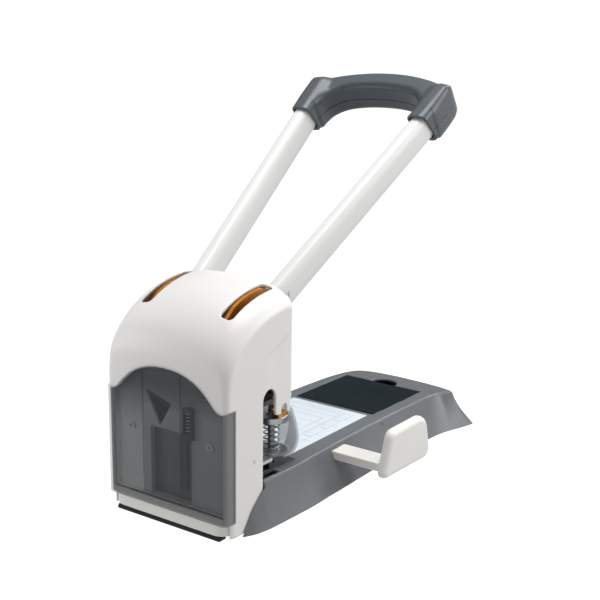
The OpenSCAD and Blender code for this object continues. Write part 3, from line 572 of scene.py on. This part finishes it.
def make_shade_plate():
    """Slanting dark plate behind the triangular opening: painted shade, standing in for the frame
    behind it, which lies in shade.
    """
    # Painted shade: a near-black plate where only shade shows through the opening
    points = [(-28, -81, 113), (2, -81, 105), (2, -73, 90), (-28, -73, 98)]
    points += [(x, y + 0.8, z + 0.4) for x, y, z in points]
    quads = [(0, 1, 2, 3), (7, 6, 5, 4), (0, 4, 5, 1), (1, 5, 6, 2), (2, 6, 7, 3), (3, 7, 4, 0)]
    ob = build("shade_plate", np.array(points, float), (), quads)
    ob.data.polygons.foreach_set("use_smooth", [False] * 6)
    return finish_piece(ob, "dark_panel", "base")


def make_drawer():
    s = Space((0, -93, 3), (63, 15, 15.2), 0.6, half=True)
    front = rmax(rmax(-s.y - F(91), s.x - F(62), 12.0), np.abs(s.z - F(9)) - F(5.2), 1.0)
    front = rmax(front, s.y + F(80.6), 0.4)
    tray = np.maximum(np.maximum(s.x - F(56), s.y - F(14)),
                      np.maximum(F(-82) - s.y, np.abs(s.z - F(9)) - F(5)))
    solid = np.minimum(front, tray)
    inside = np.maximum(np.maximum(s.x - F(54.4), s.y - F(12.4)),
                        np.maximum(F(-86) - s.y, F(5.6) - s.z))
    solid = rmax(solid, -inside, 0.4)
    ob = s.mesh("drawer", solid)
    return finish_piece(ob, "cream", "drawer", ("chip_drawer",))


# ---------------------------------------------------------------- base

# Floor half width and y, crease half width, y and height, from the front to the back, and the
# crease half width on the left, where the rear corner is narrower
STATIONS = [
    (60, -78, 60, -78, 1, 60), (66, -74, 65, -73, 8, 65), (70, -67, 65, -66.5, 17, 65),
    (72.5, -61, 65, -60, 25, 65), (74.5, -51, 65, -50, 34, 65), (75.5, -42, 65, -42, 39, 65),
    (77, -15, 65, -15, 38.5, 65), (78, 10, 63.8, 10, 37.3, 63.8), (77.5, 35, 62, 35, 36.7, 62),
    (77, 70, 60.8, 70, 36.5, 60.8), (76.2, 105, 60.3, 105, 36.5, 60.3),
    (76.4, 140, 60, 140, 36.3, 60), (77, 175, 59.8, 175, 35.8, 59.8),
    (78, 205, 59.8, 205, 35.1, 59.3), (79.5, 230, 60, 230, 34.6, 58),
    (83, 246, 60.6, 246, 34.3, 56), (88, 262, 63, 258, 34.1, 53.5),
    (91.6, 275, 69, 268, 34, 49.5), (91, 283.5, 70, 273.5, 34, 45),
    (70, 288.5, 56, 277.5, 34, 38), (36, 291, 32, 280.5, 34, 25), (0, 292, 0, 282, 34, 0)]
DECK_FALL = math.radians(1.3)
LID_Y0, LID_LEN, LID_HALF = 157.0, 94.0, 45.5
DECK_Z = 36.2
WALL_HOLLOW = 1.1


def rear_deck(s):
    """Coordinates along and above the rear deck, from the lid's front edge."""
    y, z = s.y - F(LID_Y0), s.z - F(DECK_Z)
    c, k = F(math.cos(DECK_FALL)), F(math.sin(DECK_FALL))
    return c * y - k * z, k * y + c * z


def base_outer(s, left):
    """The base's outside on one side of the centre plane, as if it were on the right."""
    floor = curve([(min(q[0], q[5] + 16) if left else q[0], q[1]) for q in STATIONS], 4)
    crease = curve([(q[5] if left else q[2], q[3]) for q in STATIONS], 4)
    heights = curve([(q[3], q[4]) for q in STATIONS], 4)
    fx, fy = s.x[:, :, 0], s.y[:, :, 0]
    d_floor = poly(fx, fy, floor + [(-100, 292), (-100, -78)])[:, :, None]
    d_crease = poly(fx, fy, crease + [(-100, 282), (-100, -78)])[:, :, None]
    hy, hz = np.array([h[0] for h in heights]), np.array([h[1] for h in heights])
    order = np.argsort(hy, kind="stable")
    top = np.interp(s.y[0, :, 0], hy[order], hz[order]).astype(F)[None, :, None]
    t = np.clip(s.z / np.maximum(top, 1), 0, 1.05)
    # Side wall, drawn in a little halfway up
    side = d_floor * (1 - t) + d_crease * t + F(4 * WALL_HOLLOW) * t * (1 - t)
    side = side * F(0.93)
    outer = rmax(side, s.z - top, 2.0)
    return np.maximum(outer, -np.maximum(side + F(3), s.z - top + F(3)))


def make_base():
    s = Space((0, -80, -1), (94, 294, 41), 0.8, half=True)
    sides = [base_half(s, base_outer(s, left)) for left in (True, False)]
    # Slot of the side guide, on the right only
    full = np.concatenate([sides[0][::-1], sides[1]])
    x = np.concatenate([-s.x[::-1], s.x])
    guide = np.maximum(np.maximum(F(55) - x, slab(s.y, 61.6, 84.4)), slab(s.z, 23.6, 32.4))
    full = rmax(full, -guide, 0.3)
    # The two sides differ, so the joined block takes the place of a mirrored half
    whole = Space((0, 0, 0), (1, 1, 1), s.step)
    whole.low = [-s.step * (s.n[0] - 0.5), s.low[1], s.low[2]]
    whole.n = list(full.shape)
    ob = whole.mesh("base_moulding", full, most_faces=195_000)
    return finish_piece(ob, "base", "base", ("base_shell",))


def base_half(s, shell):
    """The walls, openings and seats of one side of the base."""
    # Floor under the dies and the cross rib
    plate = np.maximum(np.maximum(s.x - F(61.3), np.abs(s.z - F(26)) - F(1.5)), slab(s.y, -60, 21))
    rib = np.maximum(np.maximum(s.x - F(62), slab(s.y, 149, 152)), slab(s.z, 12, 34.5))
    shell = np.minimum(shell, np.minimum(plate, rib))
    shell = np.maximum(shell, -s.z)
    # Half width, range of y and range of z of each cut for the head, the dies and the drawer
    cuts = [(65.4, -95, -60.5, -5, 80), (65.4, -95, -42.4, -5, 80), (61.5, -95, -17.5, 27.5, 80),
            (54.2, -18, 16.2, 27.5, 80), (58.5, -95, 17, -5, 15.4)]
    for half, y0, y1, z0, z1 in cuts:
        cut = np.maximum(np.maximum(s.x - F(half), slab(s.y, y0, y1)), slab(s.z, z0, z1))
        shell = rmax(shell, -cut, 0.5)
    # Seat of the sheet
    seat = np.maximum(box2(s.x, s.y, 0, 83.15, 43.8, 67.1, 1.5), F(35.9) - s.z)
    shell = rmax(shell, -seat, 0.4)
    # Seat of the lid, the tray's mouth and the half-moon notch
    v, w = rear_deck(s)
    beside = s.x - F(LID_HALF + 0.4)
    seat = np.maximum(np.maximum(beside, slab(v, -0.4, LID_LEN + 0.4)), F(-3.3) - w)
    shell = rmax(shell, -seat, 0.4)
    seat = np.maximum(np.maximum(beside, slab(v, -0.4, 5)), F(-4.6) - w)
    shell = rmax(shell, -seat, 0.3)
    mouth = np.maximum(np.maximum(s.x - F(43.6), slab(v, 4.8, LID_LEN - 2.6)), F(-30) - w)
    shell = rmax(shell, -mouth, 0.4)
    reach = np.sqrt(s.x ** 2 + (v - F(LID_LEN + 1)) ** 2) - F(14)
    notch = np.maximum(rmax(reach, F(LID_LEN - 2) - v, 1.0), F(-4) - w)
    shell = rmax(shell, -notch, 1.0)
    return shell


def deck_matrix():
    return (Matrix.Translation((0, LID_Y0, DECK_Z)) @ Matrix.Rotation(-DECK_FALL, 4, "X"))


def make_lid():
    s = Space((0, 1.2, -4.4), (46.2, 95, 0.6), 0.4, half=True)
    slab_top = rmax(rmax(box2(s.x, s.y, 0, 48, LID_HALF, 46, 1.2), s.z, 0.7),
                    F(-2.5) - s.z, 0.3)
    from_pin = np.sqrt((s.y - F(2)) ** 2 + (s.z + F(1.9)) ** 2)
    hinge = np.maximum(from_pin - F(1.9), s.x - F(LID_HALF))
    solid = np.maximum(np.minimum(slab_top, hinge), F(1.12) - from_pin)
    tab = np.maximum(s.x - F(12), np.maximum(slab(s.y, 91.8, 93.4), slab(s.z, -4, -2)))
    solid = np.minimum(solid, tab)
    reach = np.sqrt(s.x ** 2 + (s.y - F(94)) ** 2) - F(13)
    dip = np.maximum(np.maximum(reach, F(92.6) - s.y), F(-2.6) - s.z)
    solid = rmax(solid, -dip, 0.4)
    ob = s.mesh("lid_plate", solid, deck_matrix(), most_faces=90_000)
    return finish_piece(ob, "black", "lid", ("storage_lid",))


def strip(name, boxes, material, body):
    """One thin piece made of many flat bars: (x0, x1, y0, y1, z0, z1)."""
    points, quads = [], []
    for x0, x1, y0, y1, z0, z1 in boxes:
        k = len(points)
        points += [(x, y, z) for z in (z0, z1) for x, y in ((x0, y0), (x1, y0), (x1, y1), (x0, y1))]
        quads += [[k + i for i in f] for f in ((0, 3, 2, 1), (4, 5, 6, 7), (0, 1, 5, 4),
                                              (1, 2, 6, 5), (2, 3, 7, 6), (3, 0, 4, 7))]
    ob = build(name, np.array(points, float), (), quads)
    ob.data.polygons.foreach_set("use_smooth", [False] * len(ob.data.polygons))
    return finish_piece(ob, material, body)


def make_print():
    """Generic lines of paper sizes on the bed sheet, with bars where words would be."""
    z0, z1, w = 36.48, 36.54, 0.35
    bars = []

    def frame_lines(x0, x1, y0, y1):
        bars.extend([(x0, x1, y0, y0 + w, z0, z1), (x0, x1, y1 - w, y1, z0, z1),
                     (x0, x0 + w, y0, y1, z0, z1), (x1 - w, x1, y0, y1, z0, z1)])

    frame_lines(-38, 22, 40, 138)
    frame_lines(-30, 14, 40, 118)
    frame_lines(-22, 6, 40, 92)
    for y in (60, 78, 104, 128):
        bars.append((-38, 40, y, y + 0.22, z0, z1))
    for x in (24, 33):
        bars.append((x, x + 0.22, 30, 142, z0, z1))
    rng = random.Random(3)
    for x, y in ((26, 120), (26, 96), (26, 70), (26, 46), (-28, 108), (-20, 82), (-34, 128)):
        for k in range(4):
            length = 0.6 + rng.random() * 1.4
            bars.append((x, x + length, y, y + 1.1, z0, z1))
            x += length + 0.5
    for k in range(14):
        bars.append((-38 + 5 * k, -37.75 + 5 * k, 140, 143 if k % 2 else 145, z0, z1))
    return strip("sheet_print", bars, "ink", "base")


# ---------------------------------------------------------------- side guide


def make_paddle():
    s = Space((109.5, 60, 14), (119.5, 144, 61), 0.45)
    outline = (arc(67.7, 23.2, 6, 180, 270, 8) + arc(132.8, 25.2, 9.5, 270, 360, 8)
               + arc(121, 42.8, 16.5, 20, 85, 8) + arc(79.7, 50.3, 9, 90, 165, 8))
    flat = poly(s.y[0], s.z[0], outline)[None]
    solid = rmax(flat, s.x - F(119), 5.0)
    solid = rmax(solid, F(110) - s.x, 2.4)
    ob = s.mesh("paddle", solid, most_faces=60_000)
    return finish_piece(ob, "cream", "guide", ("guide_paddle",))


def make_guide_arm():
    s = Space((-41, 61, 23), (111, 85, 33), 0.5)
    bar = rmax(rmax(slab(s.y, 62, 84), slab(s.z, 24, 32), 0.7), slab(s.x, -40, 110.4), 0.5)
    groove = np.maximum(slab(s.y, 68, 78), slab(s.z, 22, 25.2))
    teeth = np.abs((s.x + F(28.5)) % F(6) - F(3)) - F(1.5)
    bar = rmax(bar, -np.maximum(np.maximum(groove, teeth), slab(s.x, -31, 57)), 0.3)
    ob = s.mesh("guide_bar", bar, most_faces=60_000)
    return finish_piece(ob, "cream", "guide", ("guide_arm",))


# ---------------------------------------------------------------- lever

PIVOT = Vector((0.0, -35.0, 156.0))
RISE = math.radians(33.9)
SPLAY = math.radians(6.0)
ARM_X0 = 36.7
RING_POINTS = 56


def lever_matrix():
    """From the plane of the arms (x, along, above) to the frame."""
    return Matrix.Translation(PIVOT) @ Matrix.Rotation(RISE, 4, "X")


def sweep(name, rings):
    """Mesh through rings of points of equal length, closed round each ring and at both ends."""
    n = len(rings[0])
    points = [p for r in rings for p in r]
    quads = [(i * n + k, i * n + (k + 1) % n, (i + 1) * n + (k + 1) % n, (i + 1) * n + k)
             for i in range(len(rings) - 1) for k in range(n)]
    tris = []
    for start, flip in ((0, True), ((len(rings) - 1) * n, False)):
        c = len(points)
        points.append(tuple(np.mean(np.array(points[start:start + n]), axis=0)))
        for k in range(n):
            a, b = start + k, start + (k + 1) % n
            tris.append((b, a, c) if flip else (a, b, c))
    return build(name, np.array(points, float), tris, quads)


def superoval(width, height, power):
    """Ring with flattened sides."""
    out = []
    for k in range(RING_POINTS):
        a = 2 * math.pi * k / RING_POINTS
        c, q = math.cos(a), math.sin(a)
        out.append((width / 2 * math.copysign(abs(c) ** (2 / power), c),
                    height / 2 * math.copysign(abs(q) ** (2 / power), q)))
    return out


def make_arm(side):
    matrix = lever_matrix()
    ring2 = superoval(16, 28, 3.0)
    rings = []
    stops = [(43, 0.90), (43.6, 0.97), (45, 1.0)] + [(50 + 25 * k, 1.0) for k in range(10)]
    stops += [(298, 1.0), (300, 0.96)]
    for along, scale in stops:
        centre = ARM_X0 + along * math.tan(SPLAY)
        ring = []
        for a, t in ring2:
            q = matrix @ Vector((side * (centre + a * scale), along, t * scale))
            ring.append(tuple(q))
        rings.append(ring)
    ob = sweep("arm_tube_" + ("right" if side > 0 else "left"), rings)
    return finish_piece(ob, "arm_white", "handle",
                        ("arm_right" if side > 0 else "arm_left",))


def grip_field(s):
    """The whole grip in the plane of the arms: x, y along, z above."""
    x, y, z = s.x, s.y, s.z
    outer = curve([(0, 348), (15, 347.3), (30, 345), (45, 341), (58, 336), (68, 330.5), (74.5, 323),
                   (77.3, 313), (77.5, 300), (76.5, 288)], 5)
    inner = curve([(56.5, 288), (55, 296), (51, 305), (44.5, 312.5), (36, 317), (24, 320),
                   (12, 321.6), (0, 322)], 5)
    outline = [(-60, 348)] + outer + inner + [(-60, 322)]
    flat = poly(x[:, :, 0], y[:, :, 0], outline)[:, :, None]
    crown = F(13) - F(1.2) * (x / 75) ** 2 - F(3.5) * smooth(y, 322, 352)
    bar = rmax(flat, z - crown, 7.0)
    bar = rmax(bar, F(-19.5) - z + F(2.0) * smooth(y, 325, 350), 7.0)
    bar = rmax(bar, F(287) - y, 4.0)
    # Sleeve round the end of the arm
    across = (x - F(ARM_X0) - y * F(math.tan(SPLAY))) * F(math.cos(SPLAY))
    sleeve = box2(across, z + F(0.8), 0, 0, 10.6, 18.2, 7.5)
    sleeve = rmax(sleeve, y - F(330), 12.0)
    body = rmax(rmin(bar, sleeve, 7.0), x - F(78.5), 4.0)
    mouth = F(278) - F(0.26) * z - y
    body = rmax(body, mouth * F(0.97), 1.2)
    hollow = np.maximum(box2(across, z, 0, 0, 8.9, 15.0, 7.0), y - F(301))
    return rmax(body, -hollow, 0.8)


def make_grip():
    s = Space((0, 268, -22), (84, 351, 21), 0.55, half=True)
    whole = grip_field(s)
    split = s.z + F(5) + F(0.03) * (s.y - F(300))
    upper = rmax(whole, F(0.16) - split, 0.45)
    lower = rmax(whole, split + F(0.16), 0.45)
    halves = (("grip_top", upper, "grip_upper"), ("grip_under", lower, "grip_lower"))
    for name, field, node in halves:
        if node == "grip_lower":
            holes = np.sqrt((s.x - F(24)) ** 2 + (s.y - F(334)) ** 2) - F(3.5)
            field = rmax(field, -np.maximum(holes, s.z + F(15.6)), 0.4)
        ob = s.mesh(name, field, lever_matrix(), most_faces=150_000)
        finish_piece(ob, "grip", "handle", (node,))


# ---------------------------------------------------------------- punching parts


def make_crosshead():
    s = Space((0, -16, 74), (56, 16, 82), 0.4, half=True)
    from_punch = np.sqrt((s.x - F(PUNCH_X)) ** 2 + s.y ** 2)
    bar = np.maximum(s.x - F(PUNCH_X), np.abs(s.y) - F(9))
    plate = rmax(rmin(from_punch - F(15), bar, 5), slab(s.z, 75, 81), 0.9)
    plate = np.maximum(plate, F(3) - from_punch)
    rack_hole = np.sqrt((s.x - F(50.5)) ** 2 + (s.y - F(3)) ** 2) - F(1.3)
    plate = np.maximum(plate, -rack_hole)
    ob = s.mesh("crosshead_plate", plate, most_faces=80_000)
    return finish_piece(ob, "zinc", "punch_set", ("crosshead",))


def make_spring(side):
    radius, wire, turns, z0, z1 = 6.7, 0.8, 5, 49.0, 75.0
    steps, sides = 36, 12
    # Part of a turn that lies flat at each end
    ground = 0.75
    rings = []
    for i in range(int(steps * (turns + 2 * ground)) + 1):
        turn = i / steps
        t = min(max((turn - ground) / turns, 0), 1)
        z = z0 + wire + 1.62 * min(turn, ground) / ground * 0.5 * ground
        z += (z1 - z0 - 2 * wire - 1.62 * ground) * t
        z += 0.81 * min(max(turn - ground - turns, 0), ground)
        a = 2 * math.pi * turn
        ring = []
        for k in range(sides):
            b = 2 * math.pi * k / sides
            r = radius + wire * math.cos(b)
            ring.append((side * (PUNCH_X + r * math.cos(a)), r * math.sin(a),
                         z + wire * math.sin(b)))
        rings.append(ring)
    name = "right" if side > 0 else "left"
    ob = sweep("coil_" + name, rings)
    finish_piece(ob, "zinc", "base", ("spring_" + name,))
    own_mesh(ob)
    return ob


def mirrored(ob):
    """Mirrors a mesh across the centre plane, its faces still turned outwards."""
    me = ob.data
    normals = [Vector((-v.vector.x, v.vector.y, v.vector.z)) for v in me.vertex_normals]
    me.transform(Matrix.Diagonal((-1, 1, 1, 1)))
    me.flip_normals()
    me.normals_split_custom_set_from_vertices(normals)
    return ob


def make_guards():
    s = Space((15, -28, 43.8), (65, 28, 85.5), 0.45)
    r = np.sqrt((s.x - F(PUNCH_X)) ** 2 + s.y ** 2)
    outer = curve([(14.6, 44.7), (19.2, 46.4), (22.4, 51.5), (23.8, 58), (23.4, 65), (21.8, 73),
                   (19.8, 80), (18.6, 84)], 4)
    inner = [(max(a - 1.7, 13.2), b + (0.9 if b < 52 else 0)) for a, b in outer][::-1]
    reach = np.arange(10, 36, 0.25, dtype=F)
    section = poly(reach[:, None], s.z[0], outer + inner) - F(0.1)
    wall = np.stack([np.interp(r[:, :, 0], reach, section[:, k]) for k in range(s.n[2])], 2)
    wall = wall.astype(F)
    # Runs round the outer side only, from 78 degrees in front to 110 degrees behind
    angle = np.arctan2(s.y, s.x - F(PUNCH_X))
    for edge, sign in ((-78, 1), (110, -1)):
        turn = sign * (angle - F(math.radians(edge)))
        beyond = np.where(turn < 0, r, -r)
        near = -np.sin(turn) * r
        wall = rmax(wall, np.where(np.abs(turn) < math.pi / 2, near, beyond).astype(F), 0.5)
    # Front edge, which slopes down and forwards
    slope = (F(-1) - F(0.483) * (F(77) - s.z) - s.y) * F(0.9)
    wall = rmax(wall, slope, 0.5)
    arm = np.maximum(box2(s.x, s.y, 37, -11.5, 6.5, 6.5), slab(s.z, 45.6, 49.4))
    wall = np.maximum(wall, -arm)
    for side, name in ((1, "right"), (-1, "left")):
        ob = mirrored(s.mesh("guard_bowl_" + name, wall)) if side < 0 else s.mesh(
            "guard_bowl_" + name, wall)
        finish_piece(ob, "guard", "base", ("guard_" + name,))


# ---------------------------------------------------------------- carried-over nodes

CARRIED = {
    "rubber": ["bottom_cover", "foot_pads"],
    "zinc": ["base_screws", "die_screws", "lid_hinge_pin", "guide_screw", "frame_bolts",
             "lower_guide_plate", "plate_screws", "housing_screws", "panel_screws",
             "catch_spring", "punch_clips", "rack_screws", "pivot_clips", "arm_rivets",
             "grip_screws"],
    "steel": ["punch_left", "punch_right", "pivot_shaft"],
    "dark_steel": ["die_plate", "paper_stop", "head_frame", "upper_guide_plate"],
    "bronze": ["pivot_bushes"],
    "orange": ["rack_left", "rack_right", "lever_gear_left", "lever_gear_right"],
    "dark_panel": ["cover_catch"],
    "black": ["storage_tray"],
    "sheet": ["bed_label"],
    "base": ["guide_rail"],
}


def dress_nodes():
    for material, names in CARRIED.items():
        for name in names:
            slots = nodes[name].data.materials
            if len(slots):
                for i in range(len(slots)):
                    slots[i] = MATERIAL[material]
            else:
                slots.append(MATERIAL[material])


# ---------------------------------------------------------------- stage


# Strength of the studio's light by height, from straight down (-1) to straight up (1)
SKY = [(-1, 0.45), (-0.4, 0.66), (-0.06, 0.88), (0, 1.12), (0.035, 1.12), (0.10, 0.14),
       (0.32, 0.12), (0.6, 0.32), (1, 0.5)]
# Name, place, aim, size and power of each soft light
LIGHTS = [
    ("key", (0.12, 0.3, 1.6), (0, 0.05, 0.12), (1.0, 1.0), 19.5),
    ("side", (1.25, 0.95, 0.75), (0, 0.08, 0.1), (0.6, 0.8), 8.5),
    ("back", (0.18, 1.6, 1.25), (0, 0.1, 0.05), (0.5, 0.35), 7),
    ("front", (-0.25, -0.27, 0.17), (-0.03, -0.09, 0.10), (0.16, 0.2), 0.26),
]
FLOOR_HALF = 36_000


def make_stage():
    h = FLOOR_HALF
    points = [(-h, -h, 0), (h, -h, 0), (h, h, 0), (-h, h, 0)]
    floor = build("floor", np.array(points, float), (), [(0, 1, 2, 3)])
    look = Look("floor", Base_Color=(0.25, 0.25, 0.25), Roughness=0.9, Specular_IOR_Level=0.1,
                Emission_Color=(1, 1, 1, 1), Emission_Strength=0.95)
    floor.data.materials.append(look.material)
    # The world below lights and mirrors in the object instead of the floor
    floor.visible_diffuse = floor.visible_glossy = False

    world = bpy.data.worlds.new("studio")
    world.use_nodes = True
    tree = world.node_tree
    background = tree.nodes["Background"]
    background.inputs["Color"].default_value = (1, 1, 1, 1)
    coords = tree.nodes.new("ShaderNodeTexCoord")
    split = tree.nodes.new("ShaderNodeSeparateXYZ")
    height = tree.nodes.new("ShaderNodeMapRange")
    height.inputs["From Min"].default_value = -1
    ramp = tree.nodes.new("ShaderNodeValToRGB")
    stops = ramp.color_ramp.elements
    stops.remove(stops[1])
    for i, (z, strength) in enumerate(SKY):
        stop = stops.new((z + 1) / 2) if i else stops[0]
        stop.position, stop.color = (z + 1) / 2, (strength, strength, strength, 1)
    tree.links.new(coords.outputs["Generated"], split.inputs[0])
    tree.links.new(split.outputs["Z"], height.inputs["Value"])
    tree.links.new(height.outputs["Result"], ramp.inputs["Fac"])
    tree.links.new(ramp.outputs["Color"], background.inputs["Strength"])
    bpy.context.scene.world = world

    for name, at, aim, size, power in LIGHTS:
        light = bpy.data.lights.new(name, "AREA")
        light.shape, light.size, light.size_y = "RECTANGLE", size[0], size[1]
        light.energy = power
        ob = bpy.data.objects.new(name, light)
        ob.location = at
        ob.rotation_euler = (Vector(aim) - Vector(at)).to_track_quat("-Z", "Y").to_euler()
        ob.visible_camera = False
        bpy.context.scene.collection.objects.link(ob)


CAMERA_AT = Vector((0.6126, -0.7713, 0.4271))
AZ, EL, ROLL = math.radians(35.20), math.radians(14.34), math.radians(0.77)


def make_camera():
    back = Vector((math.sin(AZ) * math.cos(EL), -math.cos(AZ) * math.cos(EL), math.sin(EL)))
    right = Vector((math.cos(AZ), math.sin(AZ), 0))
    up = back.cross(right)
    r = math.cos(ROLL) * right + math.sin(ROLL) * up
    u = -math.sin(ROLL) * right + math.cos(ROLL) * up
    data = bpy.data.cameras.new("camera")
    data.lens, data.sensor_width = 70.94, 36.0
    cam = bpy.data.objects.new("camera", data)
    cam.matrix_world = Matrix(((r.x, u.x, back.x, CAMERA_AT.x), (r.y, u.y, back.y, CAMERA_AT.y),
                               (r.z, u.z, back.z, CAMERA_AT.z), (0, 0, 0, 1)))
    bpy.context.scene.collection.objects.link(cam)
    bpy.context.scene.camera = cam


make_camera()
make_stage()
bpy.context.scene.view_settings.view_transform = "Standard"
dress_nodes()
make_housing()
make_cover()
make_rear_cover()
make_panel()
make_shade_plate()
make_drawer()
make_base()
make_lid()
make_print()
make_paddle()
make_guide_arm()
for arm_side in (1, -1):
    make_arm(arm_side)
    make_spring(arm_side)
make_grip()
make_crosshead()
make_guards()
